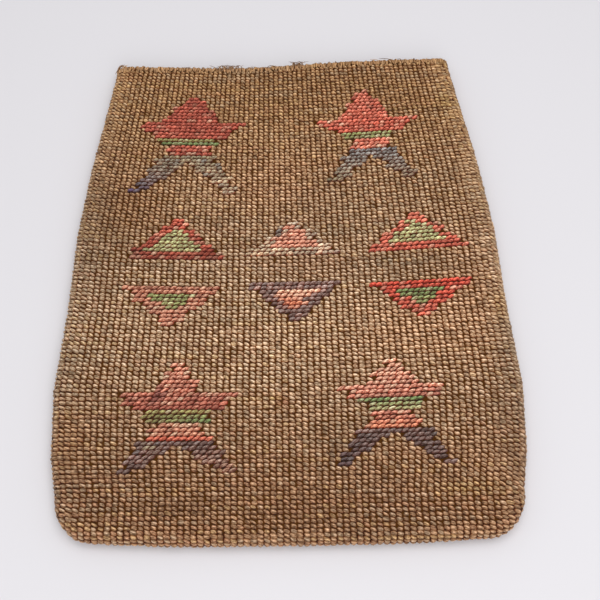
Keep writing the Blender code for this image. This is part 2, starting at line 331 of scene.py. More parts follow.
def spots_at(column, row, side, travel):
    """Gathers where stitches sit: their column, row, face and travel."""
    places = np.broadcast_arrays(column, row, side, travel)
    return dict(zip(("column", "row", "side", "travel"), places))


def chosen(spots, mask):
    """Keeps the spots that a mask marks."""
    return {key: value[mask] for key, value in spots.items()}


def lattice(side):
    """Gives the spot of every stitch of one face, down into the base fold."""
    columns, rows = np.meshgrid(
        np.arange(COLUMNS) + 0.5 - HALF_COLUMNS, np.arange(-2, ROWS - RIM_ROWS) + 0.5)
    column, row = columns.ravel(), rows.ravel()
    travel = travel_of(column, row_distance(column, row))
    kept = travel > FOLD_GAP * ROW_PITCH
    if side < 0:
        return spots_at(column[kept], row[kept], side, travel[kept])

    # where the next row is far up the fold, one more row lies on the fold's line
    lowest = kept & (travel - ROW_PITCH <= FOLD_GAP * ROW_PITCH) & (travel > FOLD_FILL * ROW_PITCH)
    on_line = np.full(lowest.sum(), FOLD_ROW * ROW_PITCH)
    # and a few stitches fill the two corners, where the last warps fan out
    inward, rise, near_row = np.array(CORNER_STITCHES).T
    corner = HALF_COLUMNS - inward
    corner_travel = rise * ROW_PITCH
    column = np.concatenate([column[kept], column[lowest], -corner, corner])
    row = np.concatenate([row[kept], row[lowest] - 1, near_row, near_row])
    travel = np.concatenate([travel[kept], on_line, corner_travel, corner_travel])
    return spots_at(column, row, side, travel)


def tapered(reach, row, top_row, top, foot_row, foot):
    """Marks the stitches of a field that changes evenly in width from its foot to its top."""
    share = (row - foot_row) / (top_row - foot_row)
    half = foot + (top - foot) * share
    return (share > 0) & (share < 1) & (reach < half)


def star_fields(column, row, size):
    """Marks the stitches of a star's head and arms, its band, its waist and its legs."""
    reach = np.abs(column - size["axis"])

    def field(top_row, top, foot_row, foot):
        return tapered(reach, row, size[top_row], top, size[foot_row], foot)

    tip = field("head_row", TIP_WIDTH, "shoulder_row", size["shoulder"])
    head = field("shoulder_row", size["shoulder"], "arm_row", size["head"])
    arms = field("arm_row", size["arm"], "band_row", size["arm_foot"])
    band = field("band_row", size["band_top"], "waist_row", size["band_foot"])
    waist = field("waist_row", size["waist_top"], "leg_row", size["waist_foot"])
    outside = field("leg_row", size["leg_top"], "foot_row", size["foot_out"])
    fork = (row - size["foot_row"]) / (size["fork_row"] - size["foot_row"])
    legs = outside & (reach > size["foot_in"] * np.maximum(0.0, 1 - fork))
    return {"head_and_arms": tip | head | arms, "band": band, "waist": waist, "legs": legs}


def triangle_fields(column, row, size):
    """Marks the stitches of a triangle's border and its centre."""
    reach = np.abs(column - size["axis"])
    whole = tapered(reach, row, size["tip_row"], TIP_WIDTH, size["base_row"], size["base"])
    centre = tapered(
        reach, row, size["centre_tip_row"], TIP_WIDTH, size["centre_base_row"], size["centre"])
    return {"border": whole & ~centre, "centre": centre}


def field_masks(column, row):
    """Marks the stitches of each yarn field, by the name of the node it replaces."""
    masks = {}
    for place, size in STARS.items():
        for part, mask in star_fields(column, row, size).items():
            masks["star_" + place + "_" + part] = mask
    for place, size in TRIANGLES.items():
        for part, mask in triangle_fields(column, row, size).items():
            masks["triangle_" + place + "_" + part] = mask
    return masks


# Modelling

def select_only(item):
    """Selects one object, and nothing else."""
    bpy.ops.object.select_all(action="DESELECT")
    bpy.context.view_layer.objects.active = item
    item.select_set(True)


def apply_modifiers(item):
    """Turns an object's modifiers into its mesh."""
    select_only(item)
    for modifier in list(item.modifiers):
        bpy.ops.object.modifier_apply(modifier=modifier.name)


def ball(name, segments, rings):
    """Adds the ball that a strand is shaped from."""
    bpy.ops.object.select_all(action="DESELECT")
    bpy.ops.mesh.primitive_uv_sphere_add(segments=segments, ring_count=rings, radius=1.0)
    item = bpy.context.object
    item.name = name
    return item


def strand_pattern(name, segments, fullness, ridge):
    """Models a short strand of unit size along X: a ridged dome, flat under, steeper above.

    A greater fullness makes its outline squarer, and a smaller ridge makes it sharper across.
    """
    item = ball(name, segments, STRAND_RINGS)
    bpy.ops.object.mode_set(mode="EDIT")
    bpy.ops.mesh.select_all(action="SELECT")
    bpy.ops.mesh.bisect(
        plane_co=(0, 0, 0), plane_no=(0, 0, 1), use_fill=True, clear_inner=True, threshold=0.0001)
    bpy.ops.object.mode_set(mode="OBJECT")
    bpy.ops.object.shade_smooth()
    points = coordinates(item.data)
    angle = np.arctan2(points[:, 1], points[:, 0])
    roundness = np.abs(np.cos(angle)) ** fullness + np.abs(np.sin(angle)) ** fullness
    reach = np.clip(np.hypot(points[:, 0], points[:, 1]), 1e-6, 1)
    above = points[:, 2] > 0.001
    top = 1 - reach ** (CROWN + (ridge - CROWN) * np.sin(angle) ** 2)
    points[:, 2] = np.where(above, top, 0.0)
    points[:, :2] *= (roundness ** (-1 / fullness))[:, None]
    points[:, 1] += CREST_SHIFT * (1 - reach) * (points[:, 2] > 0)
    move_to(item.data, points)
    return item


def loop_pattern(name, segments, rings, fullness):
    """Models a long strand of unit size along Y, as a closed oval.

    A smaller fullness makes its ends fuller.
    """
    item = ball(name, segments, rings)
    bpy.ops.object.shade_smooth()
    points = coordinates(item.data)[:, (0, 2, 1)] * np.array((1, 1, -1))
    points[:, 1] = np.sign(points[:, 1]) * np.abs(points[:, 1]) ** fullness
    move_to(item.data, points)
    return item


def coordinates(mesh):
    """Gives a mesh's points, a row for each."""
    values = np.empty(len(mesh.vertices) * 3)
    mesh.vertices.foreach_get("co", values)
    return values.reshape(-1, 3)


def move_to(mesh, points):
    """Moves a mesh's points, all of them in their order."""
    mesh.vertices.foreach_set("co", np.ascontiguousarray(points, dtype=np.float32).ravel())
    mesh.update()


def copies_of(pattern, name, count):
    """Copies a pattern as often as it is laid, all in one mesh, still in one place."""
    item = pattern.copy()
    item.data = pattern.data.copy()
    item.name = name
    item.data.name = name
    bpy.context.scene.collection.objects.link(item)
    array = item.modifiers.new("copies", "ARRAY")
    array.count = count
    array.use_relative_offset = False
    apply_modifiers(item)
    return item


# What the field is called that holds each kind of value
VALUE_FIELDS = {"FLOAT": "value", "FLOAT_VECTOR": "vector", "FLOAT_COLOR": "color"}


def keep_values(mesh, name, kind, values):
    """Stores a value of its own for each point, for the materials to read."""
    layer = mesh.attributes.new(name, kind, "POINT")
    flat = np.ascontiguousarray(values, dtype=np.float32).ravel()
    layer.data.foreach_set(VALUE_FIELDS[kind], flat)


# How a strand lies where its form says nothing else. Its length runs along the row and its
# breadth up the warp. It may lean and climb, be shifted, have its ends tucked in, be lifted,
# curl sideways at its ends, and arch out of the cloth.
PLAIN_FORM = {
    "lean": 0.0,
    "climb": 0.0,
    "shift_over": 0.0,
    "shift_up": 0.0,
    "tuck": 0.0,
    "lift": 0.0,
    "curl": 0.0,
    "arch": 0.0,
}


def over_edge(upward, rise):
    """Bends what runs past the mouth's edge round the wall and down inside it."""
    turn = np.clip(upward / RIM_ROUND, 0, math.pi)
    inside = np.maximum(0.0, upward - math.pi * RIM_ROUND)
    bent = np.minimum(upward, 0.0) + (RIM_ROUND + rise) * np.sin(turn) - inside
    return bent, (RIM_ROUND + rise) * np.cos(turn) - RIM_ROUND


def lay(name, pattern, spots, form, dye, inside=False, upright=False, turned=False):
    """Lays copies of a strand on the skin, each at its spot, in its form and its colour.

    They may lie on the wall's inside, have their fibres run up the warp, or turn over the rim.
    """
    count = len(spots["column"])
    item = copies_of(pattern, name, count)
    x, y, z = coordinates(pattern.data).T
    point, over, up, out, width = skin_frame(spots["column"], spots["travel"], spots["side"])
    if inside:
        point, over, out = point - WALL * out, -over, -out
    shape = {
        key: np.broadcast_to(value, count)[:, None]
        for key, value in {**PLAIN_FORM, **form}.items()
    }
    stretch = np.clip(width / COLUMN_PITCH, 0.8, 1.2)[:, None]
    length = shape["length"] * stretch * x
    breadth = shape["breadth"] * y
    sideways = length + shape["lean"] * breadth + shape["shift_over"] + shape["curl"] * y ** 2
    upward = breadth + shape["climb"] * length + shape["shift_up"]
    crown = shape["height"] * (z - shape["tuck"] * x ** 2)
    rise = crown + shape["lift"] + shape["arch"] * (1 - y ** 2)
    if not turned:
        rise = np.maximum(rise, -STRAND_FOOT)
    crest = shape["height"] + shape["lift"]
    # depth, from the hollow to the crest, sets each strand's painted shade and painted highlight
    depth = np.clip((rise + WALL_SINK) / (WALL_SINK + crest), 0, 1)
    if turned:
        depth = RIM_DEPTH + (1 - RIM_DEPTH) * depth
        upward, rise = over_edge(upward, rise)
    points = (
        point[:, None, :]
        + over[:, None, :] * sideways[:, :, None]
        + up[:, None, :] * upward[:, :, None]
        + out[:, None, :] * rise[:, :, None]
    )
    # pressed flat where it lies on the table
    points[:, :, 2] = np.maximum(points[:, :, 2], 0.0)
    move_to(item.data, points)

    number = np.arange(count)[:, None] * FIBRE_STEP
    lengthwise, beside = (y, x) if upright else (x, y)
    fibre = np.stack(np.broadcast_arrays(lengthwise, beside, number), axis=-1)
    colour = np.concatenate([dye, np.ones((count, 1))], axis=1)
    keep_values(item.data, "dye", "FLOAT_COLOR", np.repeat(colour, len(x), axis=0))
    keep_values(item.data, "depth", "FLOAT", depth)
    keep_values(item.data, "fibre", "FLOAT_VECTOR", fibre)
    return item


# Colours of the husk, strand by strand

WARM_REACH = 0.11          # how far above mid-way the tan has turned warm
BROWN_START = 0.05         # how far below mid-way it starts to turn brown
BROWN_REACH = 0.07         # and how much further it has turned
STRAND_TONE = 0.08         # how much the strands differ in tone
STITCH_TONE = 0.07         # and the single stitches
# Soiled or bleached patches of the front: x, y, how far each reaches, and how much it darkens
PATCHES = (
    (-0.104, 0.042, 0.018, 0.026, 0.26),
    (0.000, 0.030, 0.030, 0.020, 0.10),
    (0.024, 0.055, 0.010, 0.008, 0.22),
    (0.060, 0.000, 0.022, 0.016, 0.12),
    (0.020, -0.135, 0.050, 0.012, 0.18),
    (0.115, -0.040, 0.006, 0.016, 0.30),
    (-0.085, -0.110, 0.030, 0.030, 0.10),
    (0.010, -0.030, 0.040, 0.030, -0.16),
    (0.070, -0.030, 0.035, 0.025, -0.10),
    (-0.080, -0.030, 0.020, 0.025, -0.08),
    (-0.020, -0.060, 0.030, 0.020, -0.08),
    (-0.112, -0.010, 0.018, 0.090, 0.10),
    (0.000, 0.080, 0.030, 0.035, -0.08),
    (0.078, 0.003, 0.030, 0.007, 0.18),
    (-0.055, -0.127, 0.030, 0.006, 0.18),
    (0.023, -0.099, 0.007, 0.007, 0.38),
    (0.113, -0.085, 0.010, 0.045, 0.26),
    (-0.060, 0.010, 0.050, 0.006, 0.14),
    (-0.104, 0.010, 0.010, 0.010, 0.16),
    (-0.112, -0.059, 0.008, 0.014, 0.22),
    (0.060, 0.070, 0.016, 0.010, -0.16),
    (-0.012, 0.039, 0.010, 0.008, -0.16),
    (0.108, 0.037, 0.008, 0.012, 0.18),
    (0.005, 0.130, 0.045, 0.008, 0.14),
    (0.047, -0.118, 0.010, 0.006, 0.16),
    (-0.112, -0.115, 0.008, 0.020, 0.16),
    (0.000, 0.111, 0.012, 0.008, 0.12),
)
# Places where single strands have another colour: x, y, how far each reaches, and its share
HUSK_SPOTS = (
    (0.0958, 0.1409, 0.004, 0.004, STRAW, 0.7),
    (0.0933, 0.1112, 0.004, 0.008, STRAW, 0.6),
    (0.1111, -0.0227, 0.004, 0.010, STRAW, 0.6),
    (0.0870, -0.1190, 0.016, 0.003, STRAW, 0.5),
    (-0.0063, -0.0722, 0.004, 0.002, STRAW, 0.8),
    (-0.0028, -0.0740, 0.003, 0.003, RUST, 0.8),
    (-0.1080, -0.0935, 0.010, 0.014, BURNT_TAN, 0.6),
    (0.0070, 0.0040, 0.030, 0.008, RUST, 0.25),
    (0.0950, -0.0150, 0.020, 0.050, RED_TAN, 0.6),
    (0.0600, -0.0350, 0.025, 0.020, RED_TAN, 0.5),
    (-0.0050, 0.0560, 0.030, 0.020, RED_TAN, 0.5),
    (-0.0870, 0.0450, 0.022, 0.025, BURNT_TAN, 0.6),
)
# Kinds of weft strand among the tan ones: the colour, the chance's range, and how strong it is
STRAND_KINDS = (
    (STRAW, 0.00, 0.08, 0.30),
    (RUST, 0.08, 0.18, 0.28),
    (GREY_TAN, 0.18, 0.34, 0.35),
    (CREAM, 0.34, 0.42, 0.22),
    (OLD_BROWN, 0.42, 0.54, 0.20),
)


def mix(first, second, share):
    """Mixes two colours, or two lists of colours, by a share for each stitch."""
    share = np.asarray(share)[..., None]
    return first * (1 - share) + second * share


def nearness(points, x, y, x_reach, y_reach, edge=1):
    """Gives 1 at a place and 0 far from it; a greater edge makes the change more sudden."""
    far = ((points[:, 0] - x) / x_reach) ** 2 + ((points[:, 1] - y) / y_reach) ** 2
    return np.exp(-far ** edge)


def spliced(rng, row, column, low, high):
    """Gives each weft strand its own number, which changes where a new strand is spliced in."""
    value = np.zeros(len(row))
    face_rows = np.floor(row).astype(int)
    pair = (np.floor(column).astype(int) + face_rows) % 2
    for line in np.unique(face_rows):
        for strand in (0, 1):
            here = np.flatnonzero((face_rows == line) & (pair == strand))
            order = here[np.argsort(column[here])]
            start = 0
            while start < len(order):
                reach = int(rng.integers(low, high))
                value[order[start:start + reach]] = rng.random()
                start += reach
    return value


def husk_dye(rng, column, row, points):
    """Gives every husk stitch its colour: the strand's own, the region's, and dirt."""
    y = points[:, 1]
    front = points[:, 2] > RADIUS
    dye = mix(TAN, WARM_TAN, np.clip(y / WARM_REACH, 0, 1))
    dye = mix(dye, BASE_BROWN, np.clip((-y - BROWN_START) / BROWN_REACH, 0, 1))
    kind = spliced(rng, row, column, 2, 7)
    strand = spliced(rng, row, column, 3, 12)
    for colour, low, high, share in STRAND_KINDS:
        dye = mix(dye, colour, ((kind > low) & (kind < high)) * share)
    tone = STRAND_TONE * (strand - 0.5) + STITCH_TONE * rng.standard_normal(len(y))
    for *place, dark in PATCHES:
        tone = tone - dark * nearness(points, *place) * front
    for *place, colour, share in HUSK_SPOTS:
        dye = mix(dye, colour, share * nearness(points, *place) * front)
    return dye * np.exp(tone)[:, None]


# Shader nodes

class Wire:
    """A node's output, on which sums can be written as they are."""

    def __init__(self, finish, socket):
        self.finish = finish
        self.socket = socket

    def maths(self, operation, first, second):
        """Adds a Math node."""
        return self.finish.node("ShaderNodeMath", {"operation": operation}, {0: first, 1: second})

    def __add__(self, other):
        return self.maths("ADD", self, other)

    __radd__ = __add__

    def __sub__(self, other):
        return self.maths("SUBTRACT", self, other)

    def __rsub__(self, other):
        return self.maths("SUBTRACT", other, self)

    def __mul__(self, other):
        return self.maths("MULTIPLY", self, other)

    __rmul__ = __mul__


class Finish:
    """A material, built node by node round its Principled shader."""

    def __init__(self, name):
        self.material = bpy.data.materials.new(name)
        self.material.use_nodes = True
        self.tree = self.material.node_tree

    def fill(self, item, sockets):
        """Gives a node's sockets their values or links."""
        for key, value in sockets.items():
            if isinstance(value, Wire):
                self.tree.links.new(value.socket, item.inputs[key])
            else:
                item.inputs[key].default_value = value

    def node(self, kind, settings, sockets, output=0):
        """Adds a node with its settings and sockets, and gives one of its outputs."""
        item = self.tree.nodes.new(kind)
        for key, value in settings.items():
            if key == "stops":
                ramp = item.color_ramp
                while len(ramp.elements) < len(value):
                    ramp.elements.new(0.5)
                for element, (place, colour) in zip(ramp.elements, value):
                    element.position = place
                    element.color = colour
            else:
                setattr(item, key, value)
        self.fill(item, sockets)
        return Wire(self, item.outputs[output])

    def attribute(self, name, output):
        return self.node("ShaderNodeAttribute", {"attribute_name": name}, {}, output)

    def product(self, first, second):
        """Multiplies two colours or two vectors."""
        return self.node(
            "ShaderNodeVectorMath", {"operation": "MULTIPLY"}, {0: first, 1: second}, "Vector")

    def ramp(self, value, stops):
        return self.node("ShaderNodeValToRGB", {"stops": stops}, {"Fac": value}, "Color")

    def noise(self, vector, detail):
        return self.node(
            "ShaderNodeTexNoise", {}, {"Vector": vector, "Scale": 1.0, "Detail": detail})

    def bump(self, height, strength, distance):
        return self.node(
            "ShaderNodeBump", {},
            {"Strength": strength, "Distance": distance, "Height": height}, "Normal")

    def surface(self, sockets):
        """Gives the shader's own sockets their values or links."""
        self.fill(self.tree.nodes["Principled BSDF"], sockets)


def opaque(colour, gain=1.0):
    """Gives a colour as a socket takes it."""
    return (*[float(value) * gain for value in colour], 1.0)


# The fibres. A strand's dye is multiplied by each of these colours:
# - painted shade from its root in the hollow, over its flank, up to a painted highlight on its
#   crest,
# - from its dark streaks of fibre grain to its pale flecks, which are partly painted highlights,
# - painted shade at its lower edge, at 0, a painted highlight just above its middle, and painted
#   shade at its upper edge, at 1.
# streaks says how fine the streaks are, along it and beside it.
HUSK_FIBRE = {
    "root": (0.20, 0.065, 0.01),
    "flank": (0.45, 0.36, 0.27),
    "crest": (0.88, 0.87, 0.89),
    "fleck_and_highlight": (1.45, 1.50, 1.58),
    "streaks": (1.4, 2.6, 1.0),
    "edge_shade_and_highlight": (
        (0.12, (0.66, 0.56, 0.44, 1)),
        (0.30, (0.86, 0.83, 0.78, 1)),
        (0.56, (0.90, 0.90, 0.90, 1)),
        (0.66, (1.40, 1.44, 1.52, 1)),
        (0.76, (0.95, 0.94, 0.93, 1)),
        (0.95, (0.78, 0.71, 0.61, 1)),
    ),
    "roughness": 0.50,
    "grain": 0.5,
    "sheen": 0.0,
}
YARN_FIBRE = {
    "root": (0.50, 0.12, 0.05),
    "flank": (0.63, 0.40, 0.32),
    "crest": (1.25, 1.27, 1.27),
    "fleck_and_highlight": (1.35, 1.60, 1.62),
    "streaks": (2.2, 2.8, 1.0),
    "edge_shade_and_highlight": (
        (0.12, (0.55, 0.48, 0.44, 1)),
        (0.32, (0.90, 0.87, 0.85, 1)),
        (0.56, (1.00, 0.99, 0.98, 1)),
        (0.66, (1.30, 1.34, 1.34, 1)),
        (0.76, (1.00, 0.98, 0.97, 1)),
        (0.95, (0.70, 0.64, 0.60, 1)),
    ),
    "roughness": 0.75,
    "grain": 0.6,
    "sheen": 0.10,
}


def strand_finish(name, root, flank, crest, fleck_and_highlight, streaks, edge_shade_and_highlight, roughness, grain, sheen):
    """A fibre: its dye, streaked along it, with painted shade in its hollows and along its edges,
    and painted highlights on its crest and in its flecks.
    """
    finish = Finish(name)
    dye = finish.attribute("dye", "Color")
    depth = finish.attribute("depth", "Fac")
    fibre = finish.attribute("fibre", "Vector")
    streak = finish.noise(finish.product(fibre, streaks), 2.0)
    # the streaks are fibre grain; their pale flecks are also painted highlights along the fibres
    grain_and_highlight = finish.ramp(streak, (
        (0.38, (0.46, 0.40, 0.33, 1)),
        (0.50, (0.92, 0.91, 0.90, 1)),
        (0.62, opaque(fleck_and_highlight)),
    ))
    beside = finish.node("ShaderNodeSeparateXYZ", {}, {"Vector": fibre}, "Y")
    # painted shade along the strand's edges and a painted highlight just above its middle
    band = finish.ramp(0.5 + 0.5 * beside + 0.5 * (streak - 0.5), edge_shade_and_highlight)
    # painted shade from the hollow over the flank, and a painted highlight on the crest
    shade = finish.ramp(depth, (
        (0.08, opaque(root, 0.5)),
        (0.20, opaque(root)),
        (0.38, opaque(flank)),
        (0.66, opaque(crest, 0.78)),
        (1.00, opaque(crest)),
    ))
    streaked = finish.product(dye, finish.product(grain_and_highlight, band))
    finish.surface({
        "Base Color": finish.product(streaked, shade),
        "Roughness": roughness + 0.25 * (1 - depth),
        "Specular IOR Level": 0.25,
        "Sheen Weight": sheen,
        "Sheen Roughness": 0.5,
        "Normal": finish.bump(streak, grain, 0.0003),
    })
    return finish.material


def wall_finish(name, colour, patch, scale):
    """The wall behind the stitches, seen only in the hollows and inside the mouth."""
    finish = Finish(name)
    place = finish.node("ShaderNodeTexCoord", {}, {}, "Object")
    weave = finish.noise(finish.product(place, (scale, scale * 1.4, scale)), 3.0)
    mixed = finish.node(
        "ShaderNodeMix", {"data_type": "RGBA"}, {0: weave, 6: opaque(colour), 7: opaque(patch)}, 2)
    finish.surface({
        "Base Color": mixed,
        "Roughness": 0.95,
        "Specular IOR Level": 0.05,
        "Normal": finish.bump(weave, 0.6, 0.0006),
    })
    return finish.material


# Pieces

def hand_over(item, node, slot, *materials):
    """Gives a piece its materials and its body, and hides the node that it stands for. Its slot is
    not used.
    """
    item.data.materials.clear()
    for material in materials:
        item.data.materials.append(material)
    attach(item, "root")
    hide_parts(node)


def wall_sheet(side):
    """The wall behind one face, as a sheet whose faces are smaller towards the folds."""
    bpy.ops.object.select_all(action="DESELECT")
    bpy.ops.mesh.primitive_grid_add(x_subdivisions=COLUMNS, y_subdivisions=ROWS // 2, size=1.0)
    sheet = bpy.context.object
    share = coordinates(sheet.data)
    spread = 2.4 * share[:, 0] - 1.6 * share[:, 0] ** 3
    column = np.clip(HALF_COLUMNS * spread, -HALF_COLUMNS, HALF_COLUMNS)
    end = travel_of(column, LENGTH - RIM_EDGE - RIM_GAP)
    travel = end * np.clip(share[:, 1] + 0.5, 0, 1) ** 1.5
    point, _, _, out, _ = skin_frame(column, travel, np.full(len(column), side))
    move_to(sheet.data, point - WALL_SINK * out)
    return sheet


def woven_wall(hollows, inside):
    """The wall itself: a sheet for each face, welded at the folds and thickened inwards."""
    front, back = wall_sheet(1), wall_sheet(-1)
    select_only(front)
    back.select_set(True)
    bpy.ops.object.join()
    front.name = "woven_wall"
    bpy.ops.object.mode_set(mode="EDIT")
    bpy.ops.mesh.select_all(action="SELECT")
    bpy.ops.mesh.remove_doubles(threshold=WELD)
    bpy.ops.mesh.normals_make_consistent(inside=False)
    bpy.ops.object.mode_set(mode="OBJECT")
    # the wall's inside has the second material, so both come before the thickness
    hand_over(front, "woven_bag", "husk", hollows, inside)
    thick = front.modifiers.new("wall", "SOLIDIFY")
    thick.thickness = WALL - 2 * WALL_SINK
    thick.offset = -1.0
    thick.material_offset = 1
    apply_modifiers(front)
    bpy.ops.object.shade_smooth()


def husk_form(rng, spots, pressed):
    """The forms of husk stitches: short strands that slant down to the right, each one uneven."""
    column, row = spots["column"], spots["row"]
    count = len(column)
    return {
        "length": 0.66 * COLUMN_PITCH * np.exp(0.07 * rng.standard_normal(count)),
        "breadth": 0.64 * ROW_PITCH * np.exp(0.08 * rng.standard_normal(count)),
        "lean": 0.12 * rng.standard_normal(count),
        "climb": -0.30 + 0.08 * rng.standard_normal(count),
        "shift_over": 0.00011 * rng.standard_normal(count),
        "shift_up": (
            0.00010 * rng.standard_normal(count) + 0.00008 * np.sin(2.6 * column + 0.11 * row)),
        "height": 0.00120 + 0.00010 * rng.standard_normal(count),
        "tuck": 0.25 + 0.1 * rng.random(count),
        "lift": -0.00110 - pressed + 0.00008 * rng.standard_normal(count),
    }


def yarn_form(rng, row):
    """The forms of yarn wraps: each leans up to the right, and no two rows are in step."""
    count = len(row)
    return {
        "length": 0.79 * COLUMN_PITCH * np.exp(0.05 * rng.standard_normal(count)),
        "breadth": 0.52 * ROW_PITCH * np.exp(0.07 * rng.standard_normal(count)),
        "lean": 0.10 + 0.12 * rng.standard_normal(count),
        "climb": 0.30 - 0.12 * row / ROWS + 0.05 * rng.standard_normal(count),
        "shift_over": (
            0.00012 * rng.standard_normal(count) + 0.5 * COLUMN_PITCH * np.sin(2.0 * row)),
        "shift_up": 0.00010 * rng.standard_normal(count),
        "height": 0.00160 + 0.00006 * rng.standard_normal(count),
        "tuck": 0.32 + 0.06 * rng.random(count),
        "lift": -0.00070,
    }


# Colours of the yarn, field by field

ROW_TONE = 0.10            # how much the rows differ in tone
WORN_SPREAD = 0.22         # how much the wraps differ in wear
WORN_FROM = 0.4            # how many are worn: the higher, the fewer
WORN_MOST = 0.6
# Each field's colour at its top, at its foot's left and right ends, and its slot
FIELD_DYES = {
    "star_upper_left_head_and_arms": (FADED_RED, FADED_RED, FADED_RED, "red_yarn"),
    "star_upper_left_band": (BARK_GREEN, LEAF_GREEN, LEAF_GREEN, "green_yarn"),
    "star_upper_left_waist": (FADED_RED, FADED_RED, FADED_RED, "red_yarn"),
    "star_upper_left_legs": (GREY_OLIVE, BLUE_PURPLE, FADED_CREAM, "purple_yarn"),
    "star_upper_right_head_and_arms": (PINK_RED, WARM_RED, WARM_RED, "red_yarn"),
    "star_upper_right_band": (SPRING_GREEN, SPRING_GREEN, SPRING_GREEN, "green_yarn"),
    "star_upper_right_waist": (PINK_RED, PINK_RED, PINK_RED, "red_yarn"),
    "star_upper_right_legs": (BLUE_GREY, GREY_OLIVE, PALE_MAUVE, "purple_yarn"),
    "star_lower_left_head_and_arms": (SALMON, DUSTY_ROSE, DUSTY_ROSE, "salmon_yarn"),
    "star_lower_left_band": (BARK_GREEN, BARK_GREEN, LEAF_GREEN, "green_yarn"),
    "star_lower_left_waist": (WORN_ROSE, WORN_ROSE, WORN_ROSE, "salmon_yarn"),
    "star_lower_left_legs": (PURPLE, PURPLE, WARM_MAUVE, "purple_yarn"),
    "star_lower_right_head_and_arms": (PALE_SALMON, OLD_ROSE, OLD_ROSE, "salmon_yarn"),
    "star_lower_right_band": (LEAF_GREEN, PALE_GREEN, PALE_GREEN, "green_yarn"),
    "star_lower_right_waist": (OLD_ROSE, WORN_ORANGE, WORN_ORANGE, "salmon_yarn"),
    "star_lower_right_legs": (PURPLE, DEEP_PURPLE, PURPLE, "purple_yarn"),
    "triangle_upper_left_border": (WARM_RED, DULL_RED, DULL_RED, "red_yarn"),
    "triangle_upper_left_centre": (PALE_GREEN, PALE_GREEN, PALE_GREEN, "green_yarn"),
    "triangle_lower_left_border": (WORN_ROSE, SALMON, WORN_ROSE, "red_yarn"),
    "triangle_lower_left_centre": (SPRING_GREEN, SPRING_GREEN, SPRING_GREEN, "green_yarn"),
    "triangle_upper_middle_border": (WORN_MAUVE, PALE_CREAM, WORN_MAUVE, "purple_yarn"),
    "triangle_upper_middle_centre": (SALMON, SALMON, SALMON, "salmon_yarn"),
    "triangle_lower_middle_border": (GREY_MAUVE, GREY_MAUVE, GREY_MAUVE, "purple_yarn"),
    "triangle_lower_middle_centre": (PALE_SALMON, SALMON, SALMON, "salmon_yarn"),
    "triangle_upper_right_border": (PINK_RED, WARM_RED, WARM_RED, "red_yarn"),
    "triangle_upper_right_centre": (PALE_GREEN, PALE_GREEN, PALE_GREEN, "green_yarn"),
    "triangle_lower_right_border": (CLEAR_RED, WARM_RED, WARM_RED, "red_yarn"),
    "triangle_lower_right_centre": (LEAF_GREEN, SPRING_GREEN, SPRING_GREEN, "green_yarn"),
}
# What each yarn fades to, and how uneven its dye is
FADING = {
    "red_yarn": (CREAM, 0.16),
    "salmon_yarn": (CREAM, 0.16),
    "green_yarn": (CREAM, 0.16),
    "purple_yarn": (BLUE_GREY, 0.22),
}
# Stains and other dyes within the fields: x, y, how far each reaches, its colour and its share
YARN_SPOTS = (
    (-0.0662, -0.0690, 0.0026, 0.0080, STAINED_RED, 0.80),
    (-0.0679, -0.0972, 0.0040, 0.0022, GREY_OLIVE, 0.80),
    (-0.0085, 0.0240, 0.0060, 0.0035, BLUE_BLACK, 0.80),
    (0.0300, 0.0120, 0.0050, 0.0030, GREY_MAUVE, 0.80),
    (0.0014, -0.0191, 0.0050, 0.0025, ORANGE, 0.80),
    (-0.0560, -0.0925, 0.0300, 0.0012, ORANGE_RED, 0.60),
)


def yarn_dye(rng, spots, top, foot_left, foot_right, faded, unevenness):
    """Gives the wraps of one field their colours, from its top to both ends of its foot."""
    row, column = spots["row"], spots["column"]
    down = (row.max() - row) / max(1.0, row.max() - row.min())
    rightward = (column - column.min()) / max(1.0, column.max() - column.min())
    dye = mix(top, mix(foot_left, foot_right, rightward), down)
    tone = unevenness * rng.standard_normal(len(row))
    tone = tone + ROW_TONE * np.sin(row * 2.3 + rng.random() * 6)
    worn = np.clip(WORN_SPREAD * (rng.standard_normal(len(row)) - WORN_FROM), 0, WORN_MOST)
    dye = mix(dye * np.exp(tone)[:, None], faded, worn)
    points = skin(column, spots["travel"], spots["side"])
    for *place, colour, share in YARN_SPOTS:
        dye = mix(dye, colour, share * nearness(points, *place, edge=2))
    return dye


def yarn_fields(rng, pattern, spots, masks, material):
    """Lays the yarn of every field, each as its own piece."""
    for name, mask in masks.items():
        *colours, slot = FIELD_DYES[name]
        here = chosen(spots, mask)
        dye = yarn_dye(rng, here, *colours, *FADING[slot])
        item = lay("yarn_" + name, pattern, here, yarn_form(rng, here["row"]), dye)
        hand_over(item, name, slot, material)


def face_twining(rng, pattern, spots, side, material):
    """Lays the husk stitches of one face, as a lower and an upper piece."""
    name = "front_twining" if side > 0 else "back_twining"
    lower = spots["row"] < ROWS / 2
    for part, mask in (("_lower", lower), ("_upper", ~lower)):
        here = chosen(spots, mask)
        column, travel = here["column"], here["travel"]
        dye = husk_dye(rng, column, here["row"], skin(column, travel, here["side"]))
        folded = (travel < QUARTER) | (np.abs(column) > HALF_COLUMNS - FOLD_COLUMNS)
        pressed = np.where(folded, -FOLD_SWELL, PRESSED if side < 0 else 0.0)
        item = lay(name + part, pattern, here, husk_form(rng, here, pressed), dye)
        hand_over(item, "woven_bag", "husk", material)


